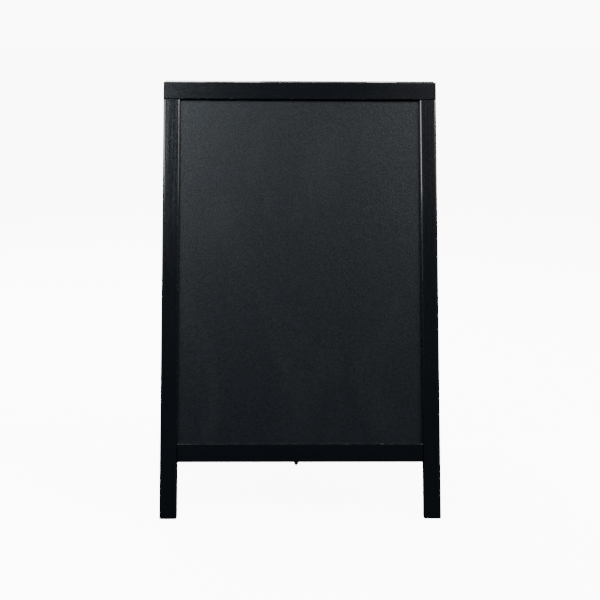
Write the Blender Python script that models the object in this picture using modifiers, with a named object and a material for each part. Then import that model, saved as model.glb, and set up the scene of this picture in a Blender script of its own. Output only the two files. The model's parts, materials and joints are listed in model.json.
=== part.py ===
# Folding A-frame pavement chalkboard: two framed boards, two butt hinges and a restraint chain.
# Metres, +Z up. The origin is on the floor, midway between the two boards.
# Each board is modelled in its own frame: the hinge pin is the X axis, -Z runs down the board
# and -Y points out of its outer face. The rear board is the same board turned half round.
import math

import bmesh
import bpy
from mathutils import Matrix, Vector

# Boards
BOARD_WIDTH = 0.555
BOARD_LENGTH = 0.879
FRAME_THICKNESS = 0.022
LEAN = math.radians(17.0)
STILE_WIDTH = 0.0345
TOP_RAIL_HEIGHT = 0.0365
BOTTOM_RAIL_HEIGHT = 0.0365
LEG_LENGTH = 0.111
PANEL_THICKNESS = 0.006
GROOVE_DEPTH = 0.008
STILE_ARRIS = 0.0045
RAIL_ARRIS = 0.002
END_ARRIS = 0.0008
ARRIS_SEGMENTS = 3

# Joints of the frame
TENON_THICKNESS = 0.010
STILE_TENON_LENGTH = 0.018
RAIL_TENON_LENGTH = 0.016
TENON_SHOULDER = 0.005
TENON_OVERLAP = 0.002

# Hinges
HINGE_INSET = 0.110
HINGE_LENGTH = 0.060
LEAF_DEPTH = 0.027
LEAF_THICKNESS = 0.0015
LEAF_CLOSED_GAP = 0.0010
KNUCKLE_COUNT = 5
BARREL_RADIUS = 0.0032
PIN_RADIUS = 0.0014
PIN_HEAD_RADIUS = 0.0024
PIN_HEAD_THICKNESS = 0.0008
BORE_CLEARANCE = 0.0003

# Hinge screws
SCREW_HEAD_RADIUS = 0.0032
SCREW_SHANK_RADIUS = 0.0015
SCREW_LENGTH = 0.014
SCREW_TIP_LENGTH = 0.003
SCREW_HEAD_LENGTH = 0.0017
SCREW_SPACING = 0.020
SCREW_EDGE_DISTANCE = 0.008
SCREW_STAGGER = 0.007

# Restraint chain and the eyes that hold it
CHAIN_OFFSET = -0.006
CHAIN_SAG = 0.066
LINK_COUNT = 27
LINK_WIRE_RADIUS = 0.0010
LINK_HALF_WIDTH = 0.0030
LINK_ARC_STEPS = 6
EYE_ABOVE_UNDERSIDE = 0.01265
EYE_RING_RADIUS = 0.0050
EYE_WIRE_RADIUS = 0.0012
EYE_STANDOFF = 0.0070
EYE_SHANK_DEPTH = 0.013

# Gap between touching pieces, and how far a cutter runs past what it cuts
FIT = 0.0003
PAST = 0.002
ROUND_SEGMENTS = 16
SMALL_SEGMENTS = 12
CURVE_SAMPLES = 2000

# Places that follow from the sizes above, in a board's own frame
INNER_FACE = -(LEAF_CLOSED_GAP / 2 + LEAF_THICKNESS + FIT)
OUTER_FACE = INNER_FACE - FRAME_THICKNESS
MID_THICKNESS = (INNER_FACE + OUTER_FACE) / 2
BOARD_TOP = -(BARREL_RADIUS + FIT)
TOP_RAIL_UNDERSIDE = BOARD_TOP - TOP_RAIL_HEIGHT
FOOT_OUTER = BOARD_TOP - BOARD_LENGTH
BOTTOM_RAIL_UNDERSIDE = FOOT_OUTER + LEG_LENGTH
BOTTOM_RAIL_TOP = BOTTOM_RAIL_UNDERSIDE + BOTTOM_RAIL_HEIGHT
HALF_WIDTH = BOARD_WIDTH / 2
HALF_OPENING = HALF_WIDTH - STILE_WIDTH
PANEL_HALF_WIDTH = HALF_OPENING + GROOVE_DEPTH - FIT
PANEL_TOP = TOP_RAIL_UNDERSIDE + GROOVE_DEPTH - FIT
PANEL_BOTTOM = BOTTOM_RAIL_TOP - GROOVE_DEPTH + FIT
HINGE_CENTRE = HALF_WIDTH - HINGE_INSET
LEAF_TOP = -(BARREL_RADIUS + 2 * FIT)
LEAF_BOTTOM = -LEAF_DEPTH
LEAF_NEAR = -LEAF_CLOSED_GAP / 2
LEAF_FAR = LEAF_NEAR - LEAF_THICKNESS
EYE_HEIGHT = BOTTOM_RAIL_UNDERSIDE + EYE_ABOVE_UNDERSIDE
PIN_HEIGHT = (BOARD_LENGTH - BOARD_TOP) * math.cos(LEAN) + OUTER_FACE * math.sin(LEAN)

LACQUER = ("black_lacquer", (0.010, 0.011, 0.013), 0.35, 0.0)
SLATE = ("chalkboard_grey", (0.030, 0.032, 0.036), 0.75, 0.0)
ZINC = ("zinc_plate", (0.55, 0.55, 0.54), 0.35, 1.0)
NICKEL = ("chain_nickel", (0.45, 0.44, 0.42), 0.30, 1.0)


def clear_scene():
    for obj in list(bpy.data.objects):
        bpy.data.objects.remove(obj, do_unlink=True)
    for name in ("sandwich_board", "cutters"):
        if name not in bpy.data.collections:
            bpy.context.scene.collection.children.link(bpy.data.collections.new(name))


def material(finish):
    name, colour, roughness, metallic = finish
    found = bpy.data.materials.get(name)
    if found:
        return found
    made = bpy.data.materials.new(name)
    made.use_nodes = True
    shader = made.node_tree.nodes["Principled BSDF"]
    shader.inputs["Base Color"].default_value = (*colour, 1.0)
    shader.inputs["Roughness"].default_value = roughness
    shader.inputs["Metallic"].default_value = metallic
    return made


def file_in(obj, collection, parent=None):
    for used in list(obj.users_collection):
        used.objects.unlink(obj)
    bpy.data.collections[collection].objects.link(obj)
    obj.parent = parent
    if collection == "cutters":
        obj.hide_render = True
        obj.display_type = "WIRE"


def make_piece(obj, name, finish, parent=None):
    obj.name = name
    obj.data.materials.clear()
    obj.data.materials.append(material(finish))
    file_in(obj, "sandwich_board", parent)
    return obj


def make_cutter(obj, parent):
    obj.name = "cutter"
    file_in(obj, "cutters", parent)
    return obj


def box(low, high):
    bpy.ops.mesh.primitive_cube_add(size=1.0)
    obj = bpy.context.object
    low, high = Vector(low), Vector(high)
    obj.data.transform(Matrix.Diagonal((*(high - low), 1.0)))
    obj.location = (low + high) / 2
    return obj


def rod(centre, radius, length, axis, segments=ROUND_SEGMENTS):
    bpy.ops.mesh.primitive_cylinder_add(vertices=segments, radius=radius, depth=length)
    obj = bpy.context.object
    turn = Vector((0, 0, 1)).rotation_difference(Vector(axis)).to_matrix().to_4x4()
    obj.data.transform(turn)
    obj.location = centre
    return obj


def combine(obj, tool, operation):
    step = obj.modifiers.new(operation.lower(), "BOOLEAN")
    step.operation = operation
    step.solver = "EXACT"
    step.object = tool


def smooth(obj, angle=35.0):
    obj.data.shade_smooth()
    obj.data.set_sharp_from_angle(angle=math.radians(angle))


def round_edges(obj, long_axis, long_arris, end_arris):
    # Edges along long_axis get the full arris; the other edges get the small end arris.
    bm = bmesh.new()
    bm.from_mesh(obj.data)
    weights = bm.edges.layers.float.new("bevel_weight_edge")
    for edge in bm.edges:
        run = (edge.verts[0].co - edge.verts[1].co).normalized()
        along = abs(run[long_axis]) > 0.9
        edge[weights] = 1.0 if along else end_arris / long_arris
    bm.to_mesh(obj.data)
    bm.free()
    arris = obj.modifiers.new("arris", "BEVEL")
    arris.limit_method = "WEIGHT"
    arris.width = long_arris
    arris.segments = ARRIS_SEGMENTS


def foot_level(thickness_place):
    # Height, down the board, at which the floor meets the given place in its thickness
    return (thickness_place * math.sin(LEAN) - PIN_HEIGHT) / math.cos(LEAN)


def cut_foot_level(obj):
    # The foot is sawn at the lean angle, so that it stands flat.
    for vert in obj.data.vertices:
        if vert.co.z < 0:
            place = obj.location.y + vert.co.y
            vert.co.z = foot_level(place) - obj.location.z


def stile_tenon(side, grow, parent):
    outer = side * (HALF_WIDTH - TENON_SHOULDER)
    inner = side * (HALF_OPENING + GROOVE_DEPTH + TENON_SHOULDER / 2)
    half = TENON_THICKNESS / 2 + grow
    top = TOP_RAIL_UNDERSIDE + STILE_TENON_LENGTH + grow
    low = (min(outer, inner) - grow, MID_THICKNESS - half, TOP_RAIL_UNDERSIDE - TENON_OVERLAP)
    high = (max(outer, inner) + grow, MID_THICKNESS + half, top)
    return make_cutter(box(low, high), parent)


def rail_tenon(side, grow, parent):
    root = side * (HALF_OPENING - TENON_OVERLAP)
    tip = side * (HALF_OPENING + RAIL_TENON_LENGTH + grow)
    half = TENON_THICKNESS / 2 + grow
    bottom = BOTTOM_RAIL_UNDERSIDE + TENON_SHOULDER - grow
    top = PANEL_BOTTOM - TENON_SHOULDER / 2 + grow
    low = (min(root, tip), MID_THICKNESS - half, bottom)
    high = (max(root, tip), MID_THICKNESS + half, top)
    return make_cutter(box(low, high), parent)


def groove_cutter(parent):
    half = PANEL_THICKNESS / 2 + FIT
    low = (-PANEL_HALF_WIDTH - FIT, MID_THICKNESS - half, PANEL_BOTTOM - FIT)
    high = (PANEL_HALF_WIDTH + FIT, MID_THICKNESS + half, PANEL_TOP + FIT)
    return make_cutter(box(low, high), parent)


def make_stile(name, side, groove, parent):
    outer = side * HALF_WIDTH
    inner = side * HALF_OPENING
    low = (min(outer, inner), OUTER_FACE, FOOT_OUTER)
    high = (max(outer, inner), INNER_FACE, TOP_RAIL_UNDERSIDE - FIT)
    stile = make_piece(box(low, high), name, LACQUER, parent)
    cut_foot_level(stile)
    round_edges(stile, 2, STILE_ARRIS, END_ARRIS)
    combine(stile, stile_tenon(side, 0.0, parent), "UNION")
    combine(stile, groove, "DIFFERENCE")
    combine(stile, rail_tenon(side, FIT, parent), "DIFFERENCE")


def make_top_rail(name, groove, parent):
    low = (-HALF_WIDTH, OUTER_FACE, TOP_RAIL_UNDERSIDE)
    high = (HALF_WIDTH, INNER_FACE, BOARD_TOP)
    rail = make_piece(box(low, high), name, LACQUER, parent)
    round_edges(rail, 0, RAIL_ARRIS, END_ARRIS)
    combine(rail, groove, "DIFFERENCE")
    for side in (-1, 1):
        combine(rail, stile_tenon(side, FIT, parent), "DIFFERENCE")
    for x, z in hinge_screw_places():
        hole = rod((x, INNER_FACE, z), SCREW_SHANK_RADIUS + FIT, 2 * SCREW_LENGTH, (0, 1, 0), SMALL_SEGMENTS)
        combine(rail, make_cutter(hole, parent), "DIFFERENCE")


def make_bottom_rail(name, groove, parent):
    low = (-HALF_OPENING + FIT, OUTER_FACE, BOTTOM_RAIL_UNDERSIDE)
    high = (HALF_OPENING - FIT, INNER_FACE, BOTTOM_RAIL_TOP)
    rail = make_piece(box(low, high), name, LACQUER, parent)
    round_edges(rail, 0, RAIL_ARRIS, END_ARRIS)
    for side in (-1, 1):
        combine(rail, rail_tenon(side, 0.0, parent), "UNION")
    combine(rail, groove, "DIFFERENCE")
    depth = 2 * (EYE_SHANK_DEPTH + FIT)
    turned = -parent["facing"]
    hole = rod((turned * CHAIN_OFFSET, INNER_FACE, EYE_HEIGHT), EYE_WIRE_RADIUS + FIT, depth, (0, 1, 0), SMALL_SEGMENTS)
    combine(rail, make_cutter(hole, parent), "DIFFERENCE")


def make_panel(name, parent):
    half = PANEL_THICKNESS / 2
    low = (-PANEL_HALF_WIDTH, MID_THICKNESS - half, PANEL_BOTTOM)
    high = (PANEL_HALF_WIDTH, MID_THICKNESS + half, PANEL_TOP)
    make_piece(box(low, high), name, SLATE, parent)


def make_board(board, facing):
    # facing is -1 for the front board and 1 for the rear board.
    ridge = bpy.data.objects.new(board + "_board_axis", None)
    ridge["facing"] = facing
    file_in(ridge, "sandwich_board")
    ridge.location = (0, 0, PIN_HEIGHT)
    ridge.rotation_euler = (-LEAN, 0, 0 if facing < 0 else math.pi)
    bpy.context.view_layer.update()
    groove = groove_cutter(ridge)
    for side in (-1, 1):
        hand = "right" if side * facing < 0 else "left"
        make_stile(board + "_" + hand + "_stile", side, groove, ridge)
    make_top_rail(board + "_top_rail", groove, ridge)
    make_bottom_rail(board + "_bottom_rail", groove, ridge)
    make_panel(board + "_chalkboard_panel", ridge)
    return ridge


def leaf_screw_places():
    # Places on one leaf, from the leaf's middle and down from the pin
    outer = LEAF_TOP - SCREW_EDGE_DISTANCE
    return [(-SCREW_SPACING, outer), (0.0, outer - SCREW_STAGGER), (SCREW_SPACING, outer)]


def hinge_screw_places():
    return [(side * HINGE_CENTRE + x, z) for side in (-1, 1) for x, z in leaf_screw_places()]


def turned_mesh(name, profile, segments):
    # A profile of (radius, height) points, top to bottom, turned round Z
    mesh = bpy.data.meshes.new(name)
    points = [(radius, 0.0, height) for radius, height in profile]
    mesh.from_pydata(points, [(i, i + 1) for i in range(len(points) - 1)], [])
    mesh["segments"] = segments
    return mesh


def turned_object(mesh):
    obj = bpy.data.objects.new(mesh.name, mesh)
    bpy.context.scene.collection.objects.link(obj)
    turn = obj.modifiers.new("turn", "SCREW")
    turn.axis = "Z"
    turn.steps = mesh["segments"]
    turn.render_steps = mesh["segments"]
    turn.use_merge_vertices = True
    turn.merge_threshold = 0.00005
    turn.use_smooth_shade = True
    return obj


def screw_profile(grow, rise):
    # Countersunk head, plain shank and a short point. grow widens it and rise lifts its top.
    head = SCREW_HEAD_RADIUS + grow
    shank = SCREW_SHANK_RADIUS + grow
    top = [(0.0, rise), (head, rise)] if rise else [(0.0, 0.0)]
    return top + [
        (head, 0.0),
        (shank, -SCREW_HEAD_LENGTH),
        (shank, -(SCREW_LENGTH - SCREW_TIP_LENGTH)),
        (0.0, -SCREW_LENGTH),
    ]


def make_leaf(name, side, board, finish, parent):
    centre = side * HINGE_CENTRE
    half = HINGE_LENGTH / 2
    low = (centre - half, LEAF_FAR, LEAF_BOTTOM)
    high = (centre + half, LEAF_NEAR, LEAF_TOP)
    leaf = make_piece(box(low, high), name, finish, parent)
    span = HINGE_LENGTH / KNUCKLE_COUNT
    own = 0 if board == "front" else 1
    for index in range(own, KNUCKLE_COUNT, 2):
        start = centre - half + index * span + FIT / 2
        end = start + span - FIT
        barrel = rod(((start + end) / 2, 0, 0), BARREL_RADIUS, end - start, (1, 0, 0))
        combine(leaf, make_cutter(barrel, parent), "UNION")
        neck = box((start, LEAF_FAR, LEAF_TOP - PAST), (end, LEAF_NEAR, LEAF_FAR))
        combine(leaf, make_cutter(neck, parent), "UNION")
    bore = rod((centre, 0, 0), PIN_RADIUS + BORE_CLEARANCE, HINGE_LENGTH + PAST, (1, 0, 0))
    combine(leaf, make_cutter(bore, parent), "DIFFERENCE")
    sink = turned_mesh("screw_hole", screw_profile(FIT, PAST), SMALL_SEGMENTS)
    for x, z in leaf_screw_places():
        hole = make_cutter(turned_object(sink), parent)
        hole.location = (centre + x, LEAF_NEAR - FIT, z)
        hole.rotation_euler = (-math.pi / 2, 0, 0)
        combine(leaf, hole, "DIFFERENCE")


def make_screws(hand, board, side, parent):
    mesh = bpy.data.meshes.get("hinge_screw") or turned_mesh("hinge_screw", screw_profile(0.0, 0.0), SMALL_SEGMENTS)
    for number, (x, z) in enumerate(leaf_screw_places(), start=1):
        name = "{}_hinge_{}_screw_{}".format(hand, board, number)
        screw = make_piece(turned_object(mesh), name, ZINC, parent)
        screw.location = (side * HINGE_CENTRE + x, LEAF_NEAR - FIT, z)
        screw.rotation_euler = (-math.pi / 2, 0, 0)


def make_pin(hand, side):
    # The pin lies along X; its swaged heads close the barrel at both ends.
    half = HINGE_LENGTH / 2 + FIT
    tip = half + PIN_HEAD_THICKNESS
    profile = [
        (0.0, tip),
        (PIN_HEAD_RADIUS, tip),
        (PIN_HEAD_RADIUS, half),
        (PIN_RADIUS, half),
        (PIN_RADIUS, -half),
        (PIN_HEAD_RADIUS, -half),
        (PIN_HEAD_RADIUS, -tip),
        (0.0, -tip),
    ]
    mesh = bpy.data.meshes.get("hinge_pin") or turned_mesh("hinge_pin", profile, ROUND_SEGMENTS)
    pin = make_piece(turned_object(mesh), hand + "_hinge_pin", ZINC)
    pin.location = (side * HINGE_CENTRE, 0, PIN_HEIGHT)
    pin.rotation_euler = (0, math.pi / 2, 0)


def make_hinges(front, rear):
    for side, hand in ((-1, "left"), (1, "right")):
        for board, axis in (("front", front), ("rear", rear)):
            local = side * -axis["facing"]
            make_leaf("{}_hinge_{}_leaf".format(hand, board), local, board, ZINC, axis)
            make_screws(hand, board, local, axis)
        make_pin(hand, side)


def make_eye(board, parent):
    # A ring of wire on a shank that is screwed into the bottom rail's inner face
    x = -parent["facing"] * CHAIN_OFFSET
    bpy.ops.mesh.primitive_torus_add(
        major_radius=EYE_RING_RADIUS,
        minor_radius=EYE_WIRE_RADIUS,
        major_segments=ROUND_SEGMENTS,
        minor_segments=8,
    )
    eye = bpy.context.object
    eye.data.transform(Matrix.Rotation(math.pi / 2, 4, "Y"))
    make_piece(eye, board + "_chain_eye", NICKEL, parent)
    eye.location = (x, INNER_FACE + EYE_STANDOFF, EYE_HEIGHT)
    tip = INNER_FACE - EYE_SHANK_DEPTH
    root = INNER_FACE + EYE_STANDOFF - EYE_RING_RADIUS
    shank = rod((x, (tip + root) / 2, EYE_HEIGHT), EYE_WIRE_RADIUS, root - tip, (0, 1, 0), SMALL_SEGMENTS)
    combine(eye, make_cutter(shank, parent), "UNION")
    smooth(eye)
    return eye


def ring_centre(axis):
    local = Vector((-axis["facing"] * CHAIN_OFFSET, INNER_FACE + EYE_STANDOFF, EYE_HEIGHT))
    return axis.matrix_world @ local


def sag_curve(front, rear):
    # A shallow hanging curve between the two rings, sampled evenly in Y
    start, end = ring_centre(front), ring_centre(rear)
    slope = math.atan2(4 * CHAIN_SAG, end.y - start.y)
    reach = Vector((0, math.cos(slope), -math.sin(slope))) * EYE_RING_RADIUS
    start = start + reach
    end = end + Vector((0, -reach.y, reach.z))
    points = []
    for i in range(CURVE_SAMPLES + 1):
        t = i / CURVE_SAMPLES
        point = start.lerp(end, t)
        point.z -= 4 * CHAIN_SAG * t * (1 - t)
        points.append(point)
    return points


def walk(points):
    # Distance along the curve at each of its points
    run = [0.0]
    for a, b in zip(points, points[1:]):
        run.append(run[-1] + (b - a).length)
    return run


def place_at(points, run, distance):
    # Position and direction at a distance along the curve; past its ends it goes on straight
    if distance <= 0:
        way = (points[1] - points[0]).normalized()
        return points[0] + way * distance, way
    if distance >= run[-1]:
        way = (points[-1] - points[-2]).normalized()
        return points[-1] + way * (distance - run[-1]), way
    index = next(i for i, value in enumerate(run) if value > distance)
    part = (distance - run[index - 1]) / (run[index] - run[index - 1])
    way = (points[index] - points[index - 1]).normalized()
    return points[index - 1].lerp(points[index], part), way


def link_curve(half_length):
    # One link: two straight sides and two half-round ends, as a closed run of wire
    curve = bpy.data.curves.new("chain_link", "CURVE")
    curve.dimensions = "3D"
    curve.bevel_depth = LINK_WIRE_RADIUS
    curve.bevel_resolution = 1
    straight = half_length - LINK_HALF_WIDTH
    points = []
    for end in (1, -1):
        for step in range(LINK_ARC_STEPS + 1):
            angle = math.pi * (step / LINK_ARC_STEPS - 0.5)
            across = LINK_HALF_WIDTH * math.sin(angle)
            along = LINK_HALF_WIDTH * math.cos(angle)
            points.append((end * (straight + along), end * across, 0.0))
    spline = curve.splines.new("POLY")
    spline.points.add(len(points) - 1)
    for point, place in zip(spline.points, points):
        point.co = (*place, 1.0)
    spline.use_cyclic_u = True
    return curve


def make_chain(front, rear):
    points = sag_curve(front, rear)
    run = walk(points)
    hook = EYE_WIRE_RADIUS + LINK_WIRE_RADIUS + FIT
    nest = 2 * LINK_WIRE_RADIUS + FIT
    half_length = (run[-1] + 2 * hook + (LINK_COUNT - 1) * nest) / (2 * LINK_COUNT)
    pitch = 2 * half_length - nest
    curve = link_curve(half_length)
    across = Vector((1, 0, 0))
    for number in range(LINK_COUNT):
        place, way = place_at(points, run, half_length - hook + number * pitch)
        upright = way.cross(across)
        width = across if number % 2 == 0 else upright
        turn = Matrix((way, width, way.cross(width))).transposed().to_4x4()
        link = bpy.data.objects.new("chain_link_{:02d}".format(number + 1), curve)
        bpy.context.scene.collection.objects.link(link)
        make_piece(link, link.name, NICKEL)
        link.matrix_world = Matrix.Translation(place) @ turn


def main():
    clear_scene()
    front = make_board("front", -1)
    rear = make_board("rear", 1)
    make_hinges(front, rear)
    for board, axis in (("front", front), ("rear", rear)):
        make_eye(board, axis)
    make_chain(front, rear)


main()
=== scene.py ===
import json
import math

import bmesh
import bpy
from mathutils import Matrix, Vector


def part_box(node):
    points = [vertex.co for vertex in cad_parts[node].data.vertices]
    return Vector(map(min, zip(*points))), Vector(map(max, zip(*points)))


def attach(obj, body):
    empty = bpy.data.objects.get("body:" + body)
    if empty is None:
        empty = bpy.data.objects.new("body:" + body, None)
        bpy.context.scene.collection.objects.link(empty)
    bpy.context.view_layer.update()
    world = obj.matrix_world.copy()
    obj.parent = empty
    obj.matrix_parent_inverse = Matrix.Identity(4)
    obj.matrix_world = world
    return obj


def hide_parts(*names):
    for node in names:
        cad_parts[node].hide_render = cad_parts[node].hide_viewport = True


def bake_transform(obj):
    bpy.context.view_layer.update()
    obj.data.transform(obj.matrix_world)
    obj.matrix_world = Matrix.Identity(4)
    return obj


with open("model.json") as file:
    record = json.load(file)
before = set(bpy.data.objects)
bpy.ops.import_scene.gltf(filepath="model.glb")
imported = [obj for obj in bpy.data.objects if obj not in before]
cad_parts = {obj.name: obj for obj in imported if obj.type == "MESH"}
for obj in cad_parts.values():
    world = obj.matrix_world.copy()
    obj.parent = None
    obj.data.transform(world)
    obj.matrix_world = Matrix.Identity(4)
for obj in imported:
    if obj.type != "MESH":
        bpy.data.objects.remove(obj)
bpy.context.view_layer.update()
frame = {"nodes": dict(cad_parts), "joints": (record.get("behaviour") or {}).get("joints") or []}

print("camera, lights and floor")

view = {
    "place": (-0.0588, -3.0969, 0.9974),
    "turn": (79.93, -0.27, -1.083),
    "lens": 90.0,
    "shiftY": -0.05,
}

lights = {
    "leftBox": {
        "place": (-1.89, -1.32, 2.17), "aim": (-1.62, -0.55, 1.60),
        "size": (2.9, 1.3), "power": 82.0, "colour": (0.88, 0.96, 1.0),
    },
    "rightBox": {
        "place": (1.90, -1.25, 2.45), "aim": (0.2, 0.0, 0.7),
        "size": (1.9, 0.9), "power": 112.0, "colour": (0.99, 1.0, 1.0),
    },
    "rightCard": {
        "place": (1.95, -1.32, 2.18), "aim": (1.68, -0.55, 1.61),
        "size": (2.9, 1.3), "power": 17.0, "colour": (1.0, 0.985, 0.965),
    },
    "topBox": {
        "place": (0.0, 1.2, 2.9), "aim": (0.0, 0.0, 0.5),
        "size": (3.0, 1.4), "power": 80.0, "colour": (1.0, 0.98, 0.95),
    },
    "backBox": {
        "place": (-1.3, 2.3, 2.3), "aim": (0.0, 0.2, 0.6),
        "size": (2.4, 1.4), "power": 110.0, "colour": (0.97, 0.99, 1.0),
    },
}

studio = {
    "floorColour": (0.80, 0.80, 0.79, 1.0),
    "floorGlow": 9.5,
    "floorSize": 60.0,
    "around": (0.020, 0.021, 0.023, 1.0),
    "backdrop": 12.5,
}


def makeCamera():
    lens = bpy.data.cameras.new("mainCamera")
    lens.lens = view["lens"]
    lens.sensor_width = 36.0
    lens.shift_y = view["shiftY"]
    lens.clip_end = 200.0
    camera = bpy.data.objects.new("mainCamera", lens)
    bpy.context.scene.collection.objects.link(camera)
    camera.location = view["place"]
    camera.rotation_euler = [math.radians(angle) for angle in view["turn"]]
    bpy.context.scene.camera = camera


def makeLights():
    for name, box in lights.items():
        lamp = bpy.data.lights.new(name, "AREA")
        lamp.shape = "RECTANGLE"
        lamp.size, lamp.size_y = box["size"]
        lamp.energy = box["power"]
        lamp.color = box["colour"]
        holder = bpy.data.objects.new(name, lamp)
        bpy.context.scene.collection.objects.link(holder)
        holder.location = box["place"]
        way = Vector(box["aim"]) - Vector(box["place"])
        holder.rotation_euler = way.to_track_quat("-Z", "Y").to_euler()
        holder.visible_camera = False


def makeStudio():
    # the surroundings look white, but only a dim grey of them falls on the board
    world = bpy.data.worlds.new("studio")
    bpy.context.scene.world = world
    world.use_nodes = True
    nodes, links = world.node_tree.nodes, world.node_tree.links
    nodes.clear()
    seen = nodes.new("ShaderNodeBackground")
    seen.inputs["Strength"].default_value = studio["backdrop"]
    felt = nodes.new("ShaderNodeBackground")
    felt.inputs["Color"].default_value = studio["around"]
    rays = nodes.new("ShaderNodeLightPath")
    both = nodes.new("ShaderNodeMixShader")
    out = nodes.new("ShaderNodeOutputWorld")
    links.new(rays.outputs["Is Camera Ray"], both.inputs[0])
    links.new(felt.outputs[0], both.inputs[1])
    links.new(seen.outputs[0], both.inputs[2])
    links.new(both.outputs[0], out.inputs["Surface"])

    bpy.ops.object.select_all(action="DESELECT")
    bpy.ops.mesh.primitive_plane_add(size=studio["floorSize"])
    floor = bpy.context.object
    floor.name = "floor"
    floor.visible_diffuse = False
    floor.visible_glossy = False
    pale = bpy.data.materials.new("floorPaper")
    pale.use_nodes = True
    shader = pale.node_tree.nodes["Principled BSDF"]
    shader.inputs["Base Color"].default_value = studio["floorColour"]
    shader.inputs["Roughness"].default_value = 0.9
    shader.inputs["Specular IOR Level"].default_value = 0.0
    shader.inputs["Emission Color"].default_value = (1.0, 1.0, 1.0, 1.0)
    shader.inputs["Emission Strength"].default_value = studio["floorGlow"]
    floor.data.materials.append(pale)


makeCamera()
makeLights()
makeStudio()

lean = math.radians(17.0)
pin = Vector(frame["joints"][0]["pos_m"])
upright = Matrix.Rotation(-lean, 4, "X")
boards = {
    "front": Matrix.Translation(pin) @ upright,
    "rear": Matrix.Translation(pin) @ Matrix.Rotation(math.pi, 4, "Z") @ upright,
}
bodies = {"front": "front_board", "rear": "rear_board"}
hands = {"front": {1: "right", -1: "left"}, "rear": {1: "left", -1: "right"}}


def boardBox(node):
    # lowest and highest corner of a front node, measured in the board's own frame
    back = boards["front"].inverted()
    spots = [back @ vert.co for vert in frame["nodes"][node].data.vertices]
    low = Vector([min(spot[axis] for spot in spots) for axis in range(3)])
    high = Vector([max(spot[axis] for spot in spots) for axis in range(3)])
    return low, high


topLow, topHigh = boardBox("front_top_rail")
bottomLow, bottomHigh = boardBox("front_bottom_rail")
panelLow, panelHigh = boardBox("front_chalkboard_panel")
stileLow = boardBox("front_right_stile")[0]
halfWidth = topHigh.x
halfOpening = stileLow.x
outerFace, innerFace = topLow.y, topHigh.y
midFace = (outerFace + innerFace) / 2
gap = 0.0003
# points closer than mergeNear are one, and a point within near of an edge belongs to it
mergeNear = 0.000005
near = 0.0001


def only(obj):
    bpy.ops.object.select_all(action="DESELECT")
    obj.select_set(True)
    bpy.context.view_layer.objects.active = obj


def openMesh(obj):
    only(obj)
    bpy.ops.object.mode_set(mode="EDIT")
    bpy.ops.mesh.select_all(action="DESELECT")


def closeMesh():
    bpy.ops.object.mode_set(mode="OBJECT")


def choose(obj, kind, test):
    # kind is VERT, EDGE or FACE; the test is given each one in turn
    bpy.ops.mesh.select_mode(type=kind)
    bpy.ops.mesh.select_all(action="DESELECT")
    mesh = bmesh.from_edit_mesh(obj.data)
    found = {"VERT": mesh.verts, "EDGE": mesh.edges, "FACE": mesh.faces}[kind]
    for part in found:
        if test(part):
            part.select_set(True)
    mesh.select_flush_mode()
    bmesh.update_edit_mesh(obj.data)


def runsAlong(edge, axis):
    way = (edge.verts[1].co - edge.verts[0].co).normalized()
    return abs(way[axis]) > 0.95


def onRim(edge, axis):
    # between an end face, square to the axis or nearly, and a side face
    if len(edge.link_faces) != 2:
        return False
    squares = sorted(abs(face.normal[axis]) for face in edge.link_faces)
    return squares[0] < 0.5 and squares[1] > 0.9


def addBlock(low, high):
    bpy.ops.object.select_all(action="DESELECT")
    low, high = Vector(low), Vector(high)
    bpy.ops.mesh.primitive_cube_add(size=1.0, location=(low + high) / 2, scale=high - low)
    bpy.ops.object.transform_apply(location=True, rotation=True, scale=True)
    return bpy.context.object


def addRod(centre, radius, length, axis, sides):
    # lies along the axis
    bpy.ops.object.select_all(action="DESELECT")
    turn = Vector((0, 0, 1)).rotation_difference(Vector(axis)).to_euler()
    bpy.ops.mesh.primitive_cylinder_add(
        vertices=sides,
        radius=radius,
        depth=length,
        location=centre,
        rotation=turn,
    )
    bpy.ops.object.transform_apply(location=True, rotation=True, scale=True)
    return bpy.context.object


def applyModifier(obj, kind, settings):
    only(obj)
    step = obj.modifiers.new("step", kind)
    for name, value in settings.items():
        setattr(step, name, value)
    bpy.ops.object.modifier_apply(modifier=step.name)


def combine(obj, tool, way="DIFFERENCE"):
    applyModifier(obj, "BOOLEAN", {"operation": way, "solver": "EXACT", "object": tool})
    bpy.data.objects.remove(tool, do_unlink=True)


def mergeTools(tools):
    bpy.ops.object.select_all(action="DESELECT")
    for tool in tools:
        tool.select_set(True)
    bpy.context.view_layer.objects.active = tools[0]
    bpy.ops.object.join()
    return bpy.context.object


def copyPiece(obj, name, place, mirrored=False):
    new = obj.copy()
    new.data = obj.data.copy()
    new.name = name
    new.data.name = name
    bpy.context.scene.collection.objects.link(new)
    if mirrored:
        new.data.transform(Matrix.Scale(-1.0, 4, (1, 0, 0)))
    new.data.transform(place)
    return new


def finishSurface(obj, angle=34.0, flatten=True):
    openMesh(obj)
    bpy.ops.mesh.select_all(action="SELECT")
    bpy.ops.mesh.remove_doubles(threshold=2 * mergeNear)
    bpy.ops.mesh.normals_make_consistent(inside=False)
    closeMesh()
    bpy.ops.object.shade_smooth_by_angle(angle=math.radians(angle))
    if flatten:
        # keeps the flat faces flat right up to their rounded edges
        applyModifier(obj, "WEIGHTED_NORMAL", {"keep_sharp": True, "weight": 90})


def handIn(obj, node, body, material):
    obj.data.materials.clear()
    obj.data.materials.append(material)
    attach(obj, body)
    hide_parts(node)


def discard(obj):
    bpy.data.objects.remove(obj, do_unlink=True)


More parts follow.
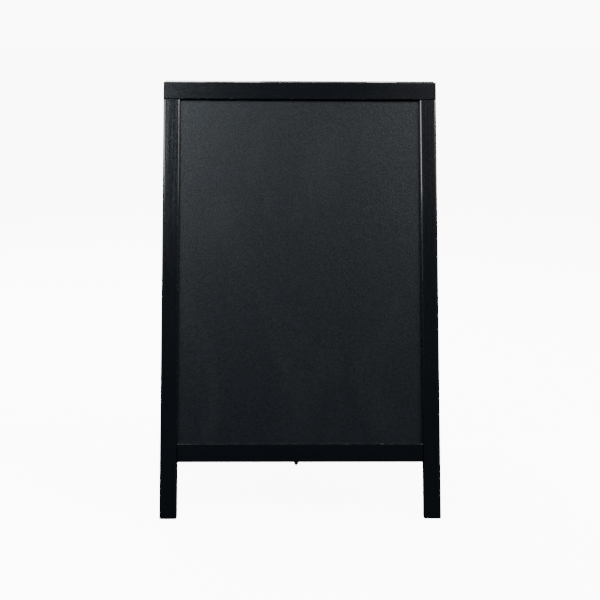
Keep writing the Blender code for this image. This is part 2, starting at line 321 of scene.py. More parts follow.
class Number:
    # a value that varies over a surface; sums on it add Math nodes

    def __init__(self, finish, socket):
        self.finish = finish
        self.socket = socket

    def __add__(self, other):
        return self.finish.math("ADD", self, other)

    def __radd__(self, other):
        return self.finish.math("ADD", other, self)

    def __sub__(self, other):
        return self.finish.math("SUBTRACT", self, other)

    def __rsub__(self, other):
        return self.finish.math("SUBTRACT", other, self)

    def __mul__(self, other):
        return self.finish.math("MULTIPLY", self, other)

    def __abs__(self):
        return self.finish.math("ABSOLUTE", self)


class Finish:
    def __init__(self, name):
        self.material = bpy.data.materials.new(name)
        self.material.use_nodes = True
        self.tree = self.material.node_tree
        self.shader = self.tree.nodes["Principled BSDF"]

    def node(self, kind, settings=None, sockets=None):
        made = self.tree.nodes.new(kind)
        for name, value in (settings or {}).items():
            setattr(made, name, value)
        for name, value in (sockets or {}).items():
            self.feed(made.inputs[name], value)
        return made

    def feed(self, socket, value):
        if isinstance(value, Number):
            self.tree.links.new(value.socket, socket)
        elif isinstance(value, bpy.types.NodeSocket):
            self.tree.links.new(value, socket)
        else:
            socket.default_value = value

    def math(self, operation, *values):
        sockets = dict(enumerate(values))
        made = self.node("ShaderNodeMath", {"operation": operation}, sockets)
        return Number(self, made.outputs[0])

    def fade(self, value, start, end):
        # 0 up to start and 1 past end, or the other way round if end is smaller
        made = self.node(
            "ShaderNodeMapRange",
            {"interpolation_type": "SMOOTHSTEP"},
            {"Value": value, "From Min": start, "From Max": end},
        )
        return Number(self, made.outputs["Result"])

    def boardSpot(self, board):
        # this surface's place in its board's own frame
        spot = self.node("ShaderNodeTexCoord").outputs["Object"]
        turn = (-lean, 0.0, 0.0 if board == "front" else math.pi)
        made = self.node(
            "ShaderNodeMapping",
            {"vector_type": "TEXTURE"},
            {"Vector": spot, "Location": tuple(pin), "Rotation": turn},
        )
        return made.outputs["Vector"]

    def parts(self, spot):
        split = self.node("ShaderNodeSeparateXYZ", None, {"Vector": spot})
        return [Number(self, split.outputs[axis]) for axis in range(3)]

    def stretch(self, spot, scale, shift=(0.0, 0.0, 0.0)):
        made = self.node(
            "ShaderNodeVectorMath",
            {"operation": "MULTIPLY_ADD"},
            {0: spot, 1: scale, 2: shift},
        )
        return made.outputs["Vector"]

    def noise(self, spot, scale, detail=3.0, roughness=0.55, distortion=0.0):
        made = self.node(
            "ShaderNodeTexNoise",
            None,
            {
                "Vector": spot,
                "Scale": scale,
                "Detail": detail,
                "Roughness": roughness,
                "Distortion": distortion,
            },
        )
        return Number(self, made.outputs["Fac"])

    def blendColours(self, share, first, second):
        made = self.node("ShaderNodeMix", {"data_type": "RGBA"}, {0: share, 6: first, 7: second})
        return made.outputs[2]

    def bump(self, height, depth, under=None):
        sockets = {"Height": height, "Strength": 1.0, "Distance": depth}
        if under is not None:
            sockets["Normal"] = under
        return self.node("ShaderNodeBump", None, sockets).outputs["Normal"]

    def nearEdge(self, spot, centre, half, twoSided):
        # distance from the nearest edge of a block, for a spot on its skin
        reach = []
        for axis, value in enumerate(self.parts(spot)):
            if axis == 0 and twoSided:
                value = abs(value)
            reach.append(half[axis] - abs(value - centre[axis]))
        least = self.math("MINIMUM", reach[0], reach[1])
        most = self.math("MAXIMUM", reach[0], reach[1])
        return self.math("MAXIMUM", least, self.math("MINIMUM", most, reach[2]))

    def shade(self, **sockets):
        for name, value in sockets.items():
            self.feed(self.shader.inputs[name.replace("_", " ")], value)
        return self.material


lacquer = {
    "deep": (0.0020, 0.0029, 0.0046, 1.0),
    "thin": (0.0031, 0.0041, 0.0060, 1.0),
    "worn": (0.026, 0.024, 0.022, 1.0),
    "gloss": 0.20,
    "glossSpread": 0.06,
    "coat": 0.75,
    "coatRoughness": 0.05,
    "grainAcross": 230.0,
    "grainAlong": 7.0,
    "grainDepth": 0.00012,
    "rippleAcross": 75.0,
    "rippleAlong": 3.0,
    "rippleDepth": 0.00025,
    "peelScale": 620.0,
    "peelDepth": 0.00003,
    "cloudScale": 9.0,
    "speckScale": 1500.0,
    "speckShare": 0.35,
    "patchScale": 55.0,
    "wearStart": 0.0032,
    "wearFull": 0.0009,
    "wearShare": 0.65,
    "shift": {"front": (3.7, 1.3, 2.9), "rear": (9.1, 4.4, 7.2)},
}


def makeLacquer(name, board, axis, centre, half, twoSided):
    # black lacquer brushed over planed wood; the grain runs along the axis
    finish = Finish(name)
    spot = finish.boardSpot(board)
    shift = lacquer["shift"][board]
    grainScale = [lacquer["grainAcross"]] * 3
    grainScale[axis] = lacquer["grainAlong"]
    rippleScale = [lacquer["rippleAcross"]] * 3
    rippleScale[axis] = lacquer["rippleAlong"]
    grain = finish.noise(finish.stretch(spot, grainScale, shift), 1.0, 5.0, 0.62, 0.25)
    ripple = finish.noise(finish.stretch(spot, rippleScale, shift), 1.0, 1.0, 0.4)
    peel = finish.noise(spot, lacquer["peelScale"], 2.0, 0.5)
    moved = finish.stretch(spot, (1.0, 1.0, 1.0), shift)
    cloud = finish.noise(moved, lacquer["cloudScale"], 3.0)
    specks = finish.noise(spot, lacquer["speckScale"], 1.0, 0.5)
    edge = finish.nearEdge(spot, centre, half, twoSided)
    # rubbed through here and there along the edges
    rubbed = finish.fade(edge, lacquer["wearStart"], lacquer["wearFull"])
    patches = finish.fade(finish.noise(spot, lacquer["patchScale"], 4.0, 0.7), 0.56, 0.74)
    wear = rubbed * patches
    dust = finish.fade(specks, 0.72, 0.80)
    colour = finish.blendColours(cloud, lacquer["deep"], lacquer["thin"])
    colour = finish.blendColours(dust * lacquer["speckShare"], colour, lacquer["worn"])
    colour = finish.blendColours(wear * lacquer["wearShare"], colour, lacquer["worn"])
    gloss = lacquer["gloss"] + (cloud - 0.5) * lacquer["glossSpread"] + (grain - 0.5) * 0.06
    relief = finish.bump(ripple, lacquer["rippleDepth"])
    relief = finish.bump(grain, lacquer["grainDepth"], relief)
    relief = finish.bump(peel, lacquer["peelDepth"], relief)
    return finish.shade(
        Base_Color=colour,
        Roughness=gloss + wear * 0.25 + dust * 0.2,
        Coat_Weight=lacquer["coat"] - wear * 0.4,
        Coat_Roughness=lacquer["coatRoughness"],
        Normal=relief,
    )


chalk = {
    "dark": (0.0018, 0.0030, 0.0052, 1.0),
    "light": (0.0034, 0.0052, 0.0084, 1.0),
    "dusty": (0.026, 0.029, 0.032, 1.0),
    "roughness": 0.35,
    "toothScale": 260.0,
    "toothDepth": 0.00030,
    "fineScale": 1100.0,
    "fineDepth": 0.00004,
    "mottleScale": 170.0,
    "hazeScale": 6.0,
    "hazeStretch": (1.0, 1.0, 0.45),
    "hazeShare": 0.06,
    "speckleShare": 0.08,
    "gritScale": 500.0,
    "grit": 0.75,
    "sheen": 0.36,
    "shift": {"front": (2.2, 0.7, 5.1), "rear": (6.3, 2.8, 1.9)},
}


def makeChalkSurface(name, board):
    # matt writing paint with a fine tooth, and the faintest haze of wiped chalk
    finish = Finish(name)
    spot = finish.boardSpot(board)
    moved = finish.stretch(spot, (1.0, 1.0, 1.0), chalk["shift"][board])
    tooth = finish.noise(moved, chalk["toothScale"], 1.0, 0.5)
    fine = finish.noise(moved, chalk["fineScale"], 2.0, 0.6)
    mottle = finish.noise(moved, chalk["mottleScale"], 4.0, 0.65)
    drawn = finish.stretch(moved, chalk["hazeStretch"])
    haze = finish.noise(drawn, chalk["hazeScale"], 4.0, 0.6, 0.8)
    wiped = finish.fade(haze, 0.45, 0.8)
    colour = finish.blendColours(finish.fade(mottle, 0.3, 0.7), chalk["dark"], chalk["light"])
    residue = wiped * chalk["hazeShare"] + finish.fade(fine, 0.6, 0.8) * chalk["speckleShare"]
    colour = finish.blendColours(residue, colour, chalk["dusty"])
    # the harder grains of the paint stand out and catch the light
    grit = finish.fade(finish.noise(moved, chalk["gritScale"], 2.0, 0.75), 0.36, 0.66)
    relief = finish.bump(tooth, chalk["toothDepth"])
    relief = finish.bump(fine, chalk["fineDepth"], relief)
    return finish.shade(
        Base_Color=colour,
        Roughness=chalk["roughness"] + (mottle - 0.5) * 0.12 + wiped * 0.06,
        Specular_IOR_Level=chalk["sheen"],
        Coat_Weight=grit * chalk["grit"],
        Coat_Roughness=chalk["roughness"],
        Normal=relief,
    )


steel = {
    "zinc": (0.50, 0.50, 0.49, 1.0),
    "zincDull": (0.36, 0.36, 0.37, 1.0),
    "nickel": (0.42, 0.40, 0.37, 1.0),
    "nickelDull": (0.24, 0.23, 0.22, 1.0),
    "roughness": 0.30,
    "scratchScale": (120.0, 1900.0, 1900.0),
    "scratchDepth": 0.00001,
    "cloudScale": 160.0,
    "pitScale": 900.0,
}


def makeSteel(name, bright, dull, board=None):
    # plated steel with rolling scratches and dulled patches
    finish = Finish(name)
    if board:
        spot = finish.boardSpot(board)
    else:
        spot = finish.node("ShaderNodeTexCoord").outputs["Object"]
    scratch = finish.noise(finish.stretch(spot, steel["scratchScale"]), 1.0, 3.0, 0.6)
    cloud = finish.noise(spot, steel["cloudScale"], 4.0, 0.6)
    pits = finish.fade(finish.noise(spot, steel["pitScale"], 2.0, 0.5), 0.64, 0.78)
    dulled = finish.fade(cloud, 0.38, 0.66)
    colour = finish.blendColours(dulled * 0.7 + pits * 0.3, bright, dull)
    relief = finish.bump(scratch, steel["scratchDepth"])
    relief = finish.bump(pits, steel["scratchDepth"] * -1.5, relief)
    return finish.shade(
        Base_Color=colour,
        Metallic=1.0,
        Roughness=steel["roughness"] + dulled * 0.12 + pits * 0.15 + (scratch - 0.5) * 0.1,
        Normal=relief,
    )


print("finishes")
thickness = innerFace - outerFace
stileCentre = ((halfOpening + halfWidth) / 2, midFace, (stileLow.z + topLow.z) / 2)
stileHalf = ((halfWidth - halfOpening) / 2, thickness / 2, (topLow.z - stileLow.z) / 2)
topCentre = (0.0, midFace, (topLow.z + topHigh.z) / 2)
topHalf = (halfWidth, thickness / 2, (topHigh.z - topLow.z) / 2)
bottomCentre = (0.0, midFace, (bottomLow.z + bottomHigh.z) / 2)
bottomHalf = (halfOpening, thickness / 2, (bottomHigh.z - bottomLow.z) / 2)

finishes = {}
for side in boards:
    finishes[side] = {
        "stile": makeLacquer(side + "StileLacquer", side, 2, stileCentre, stileHalf, True),
        "topRail": makeLacquer(side + "TopRailLacquer", side, 0, topCentre, topHalf, False),
        "bottomRail": makeLacquer(side + "BottomRailLacquer", side, 0, bottomCentre, bottomHalf, False),
        "panel": makeChalkSurface(side + "WritingPaint", side),
        "leaf": makeSteel(side + "HingeZinc", steel["zinc"], steel["zincDull"], side),
    }
finishes["pin"] = makeSteel("pinZinc", steel["zinc"], steel["zincDull"])
finishes["screw"] = makeSteel("screwZinc", steel["zinc"], steel["zincDull"])
finishes["chain"] = makeSteel("chainNickel", steel["nickel"], steel["nickelDull"])

frameWood = {
    "stileArris": 0.0045,
    "railArris": 0.0020,
    "arrisSteps": 6,
    "endArris": 0.0009,
    "endSteps": 2,
    "tenonThickness": 0.010,
    "stileTenon": 0.018,
    "railTenon": 0.016,
    "shoulder": 0.005,
    "tenonOverlap": 0.002,
    "footSpare": 0.02,
    "pilotRadius": 0.0018,
    "eyePilotRadius": 0.0015,
    "pilotDepth": 0.0143,
    "pilotStart": 0.001,
    "pilotSides": 16,
}


def grooveTool():
    low = (panelLow.x - gap, panelLow.y - gap, panelLow.z - gap)
    high = (panelHigh.x + gap, panelHigh.y + gap, panelHigh.z + gap)
    return addBlock(low, high)


def stileTenonTool(side, grow):
    outer = side * (halfWidth - frameWood["shoulder"])
    inner = side * (panelHigh.x + frameWood["shoulder"] / 2)
    ends = sorted((outer, inner))
    half = frameWood["tenonThickness"] / 2 + grow
    top = topLow.z + frameWood["stileTenon"] + grow
    low = (ends[0] - grow, midFace - half, topLow.z - frameWood["tenonOverlap"])
    high = (ends[1] + grow, midFace + half, top)
    return addBlock(low, high)


def railTenonTool(side, grow):
    root = side * (halfOpening - frameWood["tenonOverlap"])
    tip = side * (halfOpening + frameWood["railTenon"] + grow)
    ends = sorted((root, tip))
    half = frameWood["tenonThickness"] / 2 + grow
    low = (ends[0], midFace - half, bottomLow.z + frameWood["shoulder"] - grow)
    high = (ends[1], midFace + half, panelLow.z - frameWood["shoulder"] / 2 + grow)
    return addBlock(low, high)


def pilotTool(x, z, radius):
    # a hole bored square into the inner face
    depth = frameWood["pilotDepth"]
    place = (x, innerFace - depth / 2 + frameWood["pilotStart"], z)
    return addRod(place, radius, depth, (0, 1, 0), frameWood["pilotSides"])


def roundWood(obj, axis, arris):
    openMesh(obj)
    choose(obj, "EDGE", lambda edge: runsAlong(edge, axis))
    bpy.ops.mesh.bevel(offset=arris, segments=frameWood["arrisSteps"], affect="EDGES")
    choose(obj, "EDGE", lambda edge: onRim(edge, axis))
    bpy.ops.mesh.bevel(offset=frameWood["endArris"], segments=frameWood["endSteps"], affect="EDGES")
    closeMesh()


def modelStile():
    foot = stileLow.z - frameWood["footSpare"]
    obj = addBlock((halfOpening, outerFace, foot), (halfWidth, innerFace, topLow.z - gap))
    back = boards["front"].inverted()
    openMesh(obj)
    bpy.ops.mesh.select_all(action="SELECT")
    # sawn level at the foot
    bpy.ops.mesh.bisect(
        plane_co=back @ Vector((0, boards["front"].translation.y, 0)),
        plane_no=back.to_3x3() @ Vector((0, 0, -1)),
        use_fill=True,
        clear_outer=True,
    )
    closeMesh()
    roundWood(obj, 2, frameWood["stileArris"])
    combine(obj, stileTenonTool(1, 0.0), "UNION")
    combine(obj, grooveTool())
    combine(obj, railTenonTool(1, gap))
    return obj


def modelTopRail():
    obj = addBlock((-halfWidth, outerFace, topLow.z), (halfWidth, innerFace, topHigh.z))
    roundWood(obj, 0, frameWood["railArris"])
    combine(obj, grooveTool())
    combine(obj, stileTenonTool(1, gap))
    combine(obj, stileTenonTool(-1, gap))
    pilots = [pilotTool(x, z, frameWood["pilotRadius"]) for x, z in screwSpots()]
    combine(obj, mergeTools(pilots))
    return obj


def modelBottomRail():
    ends = halfOpening - gap
    obj = addBlock((-ends, outerFace, bottomLow.z), (ends, innerFace, bottomHigh.z))
    roundWood(obj, 0, frameWood["railArris"])
    combine(obj, railTenonTool(1, 0.0), "UNION")
    combine(obj, railTenonTool(-1, 0.0), "UNION")
    combine(obj, grooveTool())
    spot = boards["front"].inverted() @ ringCentre("front")
    combine(obj, pilotTool(spot.x, spot.z, frameWood["eyePilotRadius"]))
    return obj


panelShape = {
    "ease": 0.0005,
    "easeSteps": 2,
    "columns": 16,
    "rows": 24,
    "bow": 0.0003,
    "swayShare": 0.4,
    "swayAlong": 9.0,
    "swayAcross": 5.0,
}


def modelPanel():
    obj = addBlock(panelLow, panelHigh)
    openMesh(obj)
    bpy.ops.mesh.select_all(action="SELECT")
    bpy.ops.mesh.bevel(offset=panelShape["ease"], segments=panelShape["easeSteps"], affect="EDGES")
    for axis, count in ((0, panelShape["columns"]), (2, panelShape["rows"])):
        way = Vector((axis == 0, 0, axis == 2))
        for step in range(1, count):
            bpy.ops.mesh.select_all(action="SELECT")
            place = panelLow.lerp(panelHigh, step / count)
            bpy.ops.mesh.bisect(plane_co=place, plane_no=way)
    mesh = bmesh.from_edit_mesh(obj.data)
    size = panelHigh - panelLow
    for vert in mesh.verts:
        # a thin panel is never quite flat between its grooves
        across = math.sin(math.pi * (vert.co.x - panelLow.x) / size.x)
        along = math.sin(math.pi * (vert.co.z - panelLow.z) / size.z)
        phase = panelShape["swayAlong"] * vert.co.z + panelShape["swayAcross"] * vert.co.x
        sway = 1.0 + panelShape["swayShare"] * math.sin(phase)
        vert.co.y += panelShape["bow"] * across * along * sway
    bmesh.update_edit_mesh(obj.data)
    closeMesh()
    return obj


hinge = {
    "leafDepth": 0.027,
    "leafThickness": 0.0015,
    "leafNear": -0.0005,
    "leafTop": -0.0038,
    "length": 0.060,
    "knuckles": 5,
    "barrel": 0.0032,
    "curl": 296.0,
    "curlSteps": 22,
    "cornerRadius": 0.0035,
    "cornerSteps": 6,
    "sinkAbove": 0.002,
    "sinkBelow": -0.006,
    "edge": 0.00022,
    "edgeSteps": 2,
    "edgeAngle": 50.0,
    "shadeAngle": 40.0,
    "screwTwist": 1.1,
}

screwShape = {
    "head": 0.0032,
    "headDepth": 0.0017,
    "shank": 0.0015,
    "length": 0.014,
    "tip": 0.003,
    "spacing": 0.020,
    "edgeDistance": 0.008,
    "stagger": 0.007,
    "dome": 0.00012,
    "sides": 28,
    "turns": 7,
    "threadStart": 0.0035,
    "threadRoot": 0.80,
    "slotReach": 0.62,
    "slotHalf": 0.11,
    "slotDepth": 0.0011,
    "slotAbove": 0.001,
    "slotTaper": (0.42, 0.6, 1.0),
    "slotTurn": 0.35,
}


def leafScrews():
    outer = -(hinge["barrel"] + 2 * gap) - screwShape["edgeDistance"]
    step = screwShape["spacing"]
    return [(-step, outer), (0.0, outer - screwShape["stagger"]), (step, outer)]


def hingeCentre():
    low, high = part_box("right_hinge_pin")
    return (low.x + high.x) / 2


def screwSpots():
    return [(side * hingeCentre() + x, z) for side in (-1, 1) for x, z in leafScrews()]


def turnProfile(profile, steps):
    # a line of points turned round the Z axis
    bpy.ops.object.select_all(action="DESELECT")
    bpy.ops.mesh.primitive_plane_add(size=0.01)
    obj = bpy.context.object
    openMesh(obj)
    bpy.ops.mesh.select_all(action="SELECT")
    bpy.ops.mesh.delete(type="VERT")
    mesh = bmesh.from_edit_mesh(obj.data)
    verts = [mesh.verts.new((radius, 0.0, height)) for radius, height in profile]
    for first, second in zip(verts, verts[1:]):
        mesh.edges.new((first, second))
    bmesh.update_edit_mesh(obj.data)
    bpy.ops.mesh.select_all(action="SELECT")
    bpy.ops.mesh.spin(steps=steps, angle=2 * math.pi, center=(0, 0, 0), axis=(0, 0, 1))
    bpy.ops.mesh.select_all(action="SELECT")
    bpy.ops.mesh.remove_doubles(threshold=mergeNear)
    bpy.ops.mesh.normals_make_consistent(inside=False)
    closeMesh()
    return obj


def modelLeaf(own):
    # own says which knuckles belong to this leaf: 0 for the first, third and fifth
    half = hinge["length"] / 2
    middle = hinge["leafNear"] - hinge["leafThickness"] / 2
    bpy.ops.object.select_all(action="DESELECT")
    bpy.ops.mesh.primitive_plane_add(
        size=1.0,
        location=(0, middle, (hinge["leafTop"] - hinge["leafDepth"]) / 2),
        rotation=(math.pi / 2, 0, 0),
    )
    obj = bpy.context.object
    obj.scale = (hinge["length"], hinge["leafDepth"] + hinge["leafTop"], 1.0)
    bpy.ops.object.transform_apply(location=True, rotation=True, scale=True)
    span = hinge["length"] / hinge["knuckles"]
    openMesh(obj)
    for index in range(1, hinge["knuckles"]):
        for nudge in (-gap / 2, gap / 2):
            bpy.ops.mesh.select_all(action="SELECT")
            bpy.ops.mesh.bisect(plane_co=(-half + index * span + nudge, 0, 0), plane_no=(1, 0, 0))
    ring = hinge["barrel"] - hinge["leafThickness"] / 2
    meet = -math.sqrt(ring * ring - middle * middle)

    def ownTop(edge):
        centre = (edge.verts[0].co + edge.verts[1].co) / 2
        index = (centre.x + half) / span
        wide = edge.calc_length() > span / 2
        return centre.z > hinge["leafTop"] - near and wide and int(index) % 2 == own

    choose(obj, "EDGE", ownTop)
    bpy.ops.mesh.extrude_region_move(TRANSFORM_OT_translate={"value": (0, 0, meet - hinge["leafTop"])})
    bpy.ops.mesh.spin(
        steps=hinge["curlSteps"],
        angle=math.radians(hinge["curl"]),
        center=(0, 0, 0),
        axis=(1, 0, 0),
    )
    bpy.ops.mesh.select_all(action="SELECT")
    bpy.ops.mesh.remove_doubles(threshold=mergeNear)
    bpy.ops.mesh.normals_make_consistent(inside=False)
    corner = (half - near, near - hinge["leafDepth"])
    choose(obj, "VERT", lambda vert: abs(vert.co.x) > corner[0] and vert.co.z < corner[1])
    bpy.ops.mesh.bevel(
        offset=hinge["cornerRadius"],
        segments=hinge["cornerSteps"],
        affect="VERTICES",
    )
    closeMesh()
    sheet = {"thickness": hinge["leafThickness"], "offset": 0.0, "use_even_offset": True}
    applyModifier(obj, "SOLIDIFY", sheet)
    wide, narrow = screwShape["head"] + gap, screwShape["shank"] + gap
    sink = [(0.0, hinge["sinkAbove"]), (wide, hinge["sinkAbove"]), (wide, -gap)]
    sink += [(narrow, -gap - screwShape["headDepth"]), (narrow, hinge["sinkBelow"])]
    sink += [(0.0, hinge["sinkBelow"])]
    tools = []
    for x, z in leafScrews():
        tool = turnProfile(sink, screwShape["sides"])
        place = Matrix.Translation((x, hinge["leafNear"], z))
        tool.data.transform(place @ Matrix.Rotation(-math.pi / 2, 4, "X"))
        tools.append(tool)
    combine(obj, mergeTools(tools))
    eased = {
        "width": hinge["edge"],
        "segments": hinge["edgeSteps"],
        "limit_method": "ANGLE",
        "angle_limit": math.radians(hinge["edgeAngle"]),
    }
    applyModifier(obj, "BEVEL", eased)
    return obj


def modelScrew():
    head, shank = screwShape["head"], screwShape["shank"]
    neck = -(screwShape["length"] - screwShape["tip"])
    dome = screwShape["dome"]
    profile = [(0.0, dome), (head * 0.55, dome * 2 / 3), (head * 0.94, 0.0), (head, -dome)]
    profile += [(shank, -screwShape["headDepth"])]
    root = shank * screwShape["threadRoot"]
    turns = screwShape["turns"]
    pitch = (neck + screwShape["threadStart"]) / turns
    for turn in range(turns):
        top = -screwShape["threadStart"] + pitch * turn
        profile += [(shank, top + pitch * 0.55), (root, top + pitch * 0.80)]
    profile += [(root, neck), (shank * 0.45, neck - screwShape["tip"] * 0.6)]
    profile += [(0.0, -screwShape["length"])]
    obj = turnProfile(profile, screwShape["sides"])
    reach, half = head * screwShape["slotReach"], head * screwShape["slotHalf"]
    for turn in (0.0, math.pi / 2):
        # one arm of the cross recess, narrower at its bottom
        low = (-reach, -half, -screwShape["slotDepth"])
        slot = addBlock(low, (reach, half, screwShape["slotAbove"]))
        openMesh(slot)
        choose(slot, "VERT", lambda vert: vert.co.z < 0)
        bpy.ops.transform.resize(value=screwShape["slotTaper"], center_override=(0, 0, 0))
        closeMesh()
        slot.data.transform(Matrix.Rotation(turn + screwShape["slotTurn"], 4, "Z"))
        combine(obj, slot)
    return obj


pinShape = {
    "radius": 0.0014,
    "head": 0.0024,
    "headDepth": 0.0008,
    "crown": 0.00008,
    "cheek": 0.00026,
    "rim": 0.00022,
    "sides": 32,
}


def modelPin():
    half = hinge["length"] / 2 + gap
    tip = half + pinShape["headDepth"]
    head, shank = pinShape["head"], pinShape["radius"]
    dome = [(0.0, tip), (head * 0.55, tip - pinShape["crown"])]
    dome += [(head * 0.88, tip - pinShape["cheek"]), (head, half + pinShape["rim"])]
    top = dome + [(head * 0.97, half), (shank, half)]
    bottom = [(radius, -height) for radius, height in reversed(top)]
    obj = turnProfile(top + bottom, pinShape["sides"])
    obj.data.transform(Matrix.Rotation(math.pi / 2, 4, "Y"))
    return obj


chainShape = {
    "wire": 0.0010,
    "halfWidth": 0.0030,
    "ringSteps": 24,
    "wireSteps": 12,
    "nest": 0.0023,
    "weld": 1.22,
    "weldHalf": 0.0009,
    "shadeAngle": 60.0,
    "give": 0.6,
}

eyeShape = {
    "ring": 0.0050,
    "wire": 0.0012,
    "shank": 0.013,
    "overrun": 0.002,
    "open": 22.0,
    "steps": 30,
    "sides": 14,
    "point": 0.25,
    "shadeAngle": 40.0,
}


def ringCentre(board):
    # the eye's ring is the part that stands clear of the rail
    back = boards[board].inverted()
    spots = [back @ vert.co for vert in frame["nodes"][board + "_chain_eye"].data.vertices]
    height = (min(spot.z for spot in spots) + max(spot.z for spot in spots)) / 2
    reach = max(spot.y for spot in spots) - eyeShape["ring"] - eyeShape["wire"]
    middle = (min(spot.x for spot in spots) + max(spot.x for spot in spots)) / 2
    return boards[board] @ Vector((middle, reach, height))


def modelEye():
    # wire bent round into a ring, then straight on as the screw
    bpy.ops.object.select_all(action="DESELECT")
    ring, wire = eyeShape["ring"], eyeShape["wire"]
    bpy.ops.mesh.primitive_circle_add(
        vertices=eyeShape["sides"],
        radius=wire,
        location=(0, -ring, 0),
        fill_type="NGON",
    )
    obj = bpy.context.object
    bpy.ops.object.transform_apply(location=True, rotation=True, scale=True)
    openMesh(obj)
    bpy.ops.mesh.select_all(action="SELECT")
    turn = math.radians(360.0 - eyeShape["open"])
    bpy.ops.mesh.spin(steps=eyeShape["steps"], angle=turn, center=(0, 0, 0), axis=(1, 0, 0))
    bpy.ops.mesh.select_all(action="SELECT")
    bpy.ops.mesh.normals_make_consistent(inside=False)
    closeMesh()
    tip = -(ring + eyeShape["shank"] + eyeShape["overrun"])
    shank = addRod((0, (tip - ring) / 2, 0), wire, -ring - tip, (0, 1, 0), eyeShape["sides"])
    openMesh(shank)
    choose(shank, "VERT", lambda vert: vert.co.y < tip + near)
    point = eyeShape["point"]
    bpy.ops.transform.resize(value=(point, 1.0, point), center_override=(0, 0, 0))
    closeMesh()
    combine(obj, shank, "UNION")
    return obj


def modelLink(halfLength):
    # a torus drawn out to a stadium, with the butt weld on one side
    wire, halfWide = chainShape["wire"], chainShape["halfWidth"]
    bpy.ops.object.select_all(action="DESELECT")
    bpy.ops.mesh.primitive_torus_add(
        major_radius=halfWide,
        minor_radius=wire,
        major_segments=chainShape["ringSteps"],
        minor_segments=chainShape["wireSteps"],
    )
    obj = bpy.context.object
    straight = halfLength - halfWide
    openMesh(obj)
    for way in (1, -1):
        choose(obj, "VERT", lambda vert: vert.co.x * way > mergeNear)
        bpy.ops.transform.translate(value=(way * straight, 0, 0))
    weldHalf = chainShape["weldHalf"]
    for place in (-weldHalf, -weldHalf / 2, weldHalf / 2, weldHalf):
        bpy.ops.mesh.select_all(action="SELECT")
        bpy.ops.mesh.bisect(plane_co=(place, 0, 0), plane_no=(1, 0, 0))
    # only the middle of the weld swells
    choose(obj, "VERT", lambda vert: abs(vert.co.x) < weldHalf * 0.55 and vert.co.y > 0)
    weld = chainShape["weld"]
    bpy.ops.transform.resize(value=(1, weld, weld), center_override=(0, halfWide, 0))
    closeMesh()
    return obj


def buildBoards():
    stile = modelStile()
    topRail = modelTopRail()
    bottomRail = modelBottomRail()
    panel = modelPanel()
    for board, place in boards.items():
        body = bodies[board]
        look = finishes[board]
        for side in (1, -1):
            node = "{}_{}_stile".format(board, hands[board][side])
            made = copyPiece(stile, node + "_wood", place, side < 0)
            finishSurface(made)
            handIn(made, node, body, look["stile"])
        rails = (("top_rail", topRail, "topRail"), ("bottom_rail", bottomRail, "bottomRail"))
        for kind, source, paint in rails:
            node = "{}_{}".format(board, kind)
            made = copyPiece(source, node + "_wood", place)
            finishSurface(made)
            handIn(made, node, body, look[paint])
        node = board + "_chalkboard_panel"
        made = copyPiece(panel, node + "_sheet", place)
        finishSurface(made)
        handIn(made, node, body, look["panel"])
    for source in (stile, topRail, bottomRail, panel):
        discard(source)


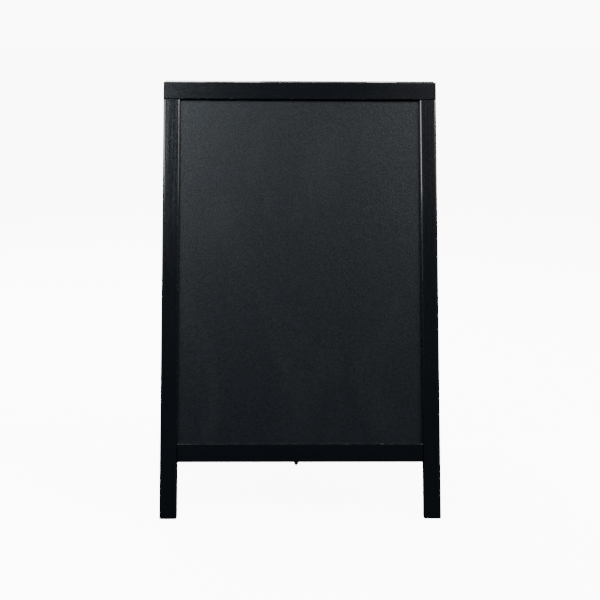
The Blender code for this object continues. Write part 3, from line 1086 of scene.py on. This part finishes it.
def buildHinges():
    leaves = {"front": modelLeaf(0), "rear": modelLeaf(1)}
    screw = modelScrew()
    rod = modelPin()
    seat = Matrix.Rotation(-math.pi / 2, 4, "X")
    for hand, worldSide in (("left", -1), ("right", 1)):
        for board, place in boards.items():
            side = worldSide if board == "front" else -worldSide
            shift = Matrix.Translation((side * hingeCentre(), 0, 0))
            node = "{}_hinge_{}_leaf".format(hand, board)
            made = copyPiece(leaves[board], node + "_steel", place @ shift)
            finishSurface(made, hinge["shadeAngle"])
            handIn(made, node, bodies[board], finishes[board]["leaf"])
            for number, (x, z) in enumerate(leafScrews(), start=1):
                node = "{}_hinge_{}_screw_{}".format(hand, board, number)
                spot = Matrix.Translation((x, hinge["leafNear"] - gap, z))
                twist = Matrix.Rotation(hinge["screwTwist"] * number + side, 4, "Z")
                made = copyPiece(screw, node + "_steel", place @ shift @ spot @ seat @ twist)
                finishSurface(made, hinge["shadeAngle"])
                handIn(made, node, bodies[board], finishes["screw"])
        node = hand + "_hinge_pin"
        low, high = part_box(node)
        made = copyPiece(rod, node + "_steel", Matrix.Translation((low + high) / 2))
        finishSurface(made, hinge["shadeAngle"])
        handIn(made, node, "front_board", finishes["pin"])
    for source in (*leaves.values(), screw, rod):
        discard(source)


def buildChain():
    eye = modelEye()
    for board, place in boards.items():
        node = board + "_chain_eye"
        spot = Matrix.Translation(place.inverted() @ ringCentre(board))
        made = copyPiece(eye, node + "_wire", place @ spot)
        finishSurface(made, eyeShape["shadeAngle"], False)
        handIn(made, node, bodies[board], finishes["chain"])
    discard(eye)

    nodes = sorted(name for name in frame["nodes"] if name.startswith("chain_link_"))
    middles = []
    for node in nodes:
        low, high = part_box(node)
        middles.append((low + high) / 2)
    ways = [(after - before).normalized() for before, after in zip(middles, middles[2:])]
    ways.insert(0, (2 * (middles[1] - middles[0]).normalized() - ways[0]).normalized())
    ways.append((2 * (middles[-1] - middles[-2]).normalized() - ways[-1]).normalized())
    pitch = (middles[1] - middles[0]).length
    link = modelLink((pitch + chainShape["nest"]) / 2)
    across = Vector((1, 0, 0))

    def swing(spot):
        return math.atan2(spot.y - pin.y, pin.z - spot.z)

    first, last = swing(ringCentre("front")), swing(ringCentre("rear"))
    for number, (node, middle, way) in enumerate(zip(nodes, middles, ways)):
        width = across if number % 2 == 0 else way.cross(across)
        turn = Matrix((way, width, way.cross(width))).transposed().to_4x4()
        made = copyPiece(link, node + "_wire", Matrix.Translation(middle) @ turn)
        finishSurface(made, chainShape["shadeAngle"], False)
        made.data.materials.append(finishes["chain"])
        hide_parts(node)
        # each link's share of the fold and a little give are worked out here, but nothing uses them and
        # the link stays where it is
        share = (swing(middle) - first) / (last - first)
        point = 0.5 - math.sin(math.asin(1 - 2 * share) / 3)
        span = abs(ringCentre("rear").y - ringCentre("front").y)
        reach = 6 * point * (1 - point) * span / chainShape["give"]
        start = middle - Vector((0, point * reach, 0))
        end = start + Vector((0, reach, 0))
        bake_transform(made)
    discard(link)


print("boards")
buildBoards()
print("hinges")
buildHinges()
print("chain")
buildChain()
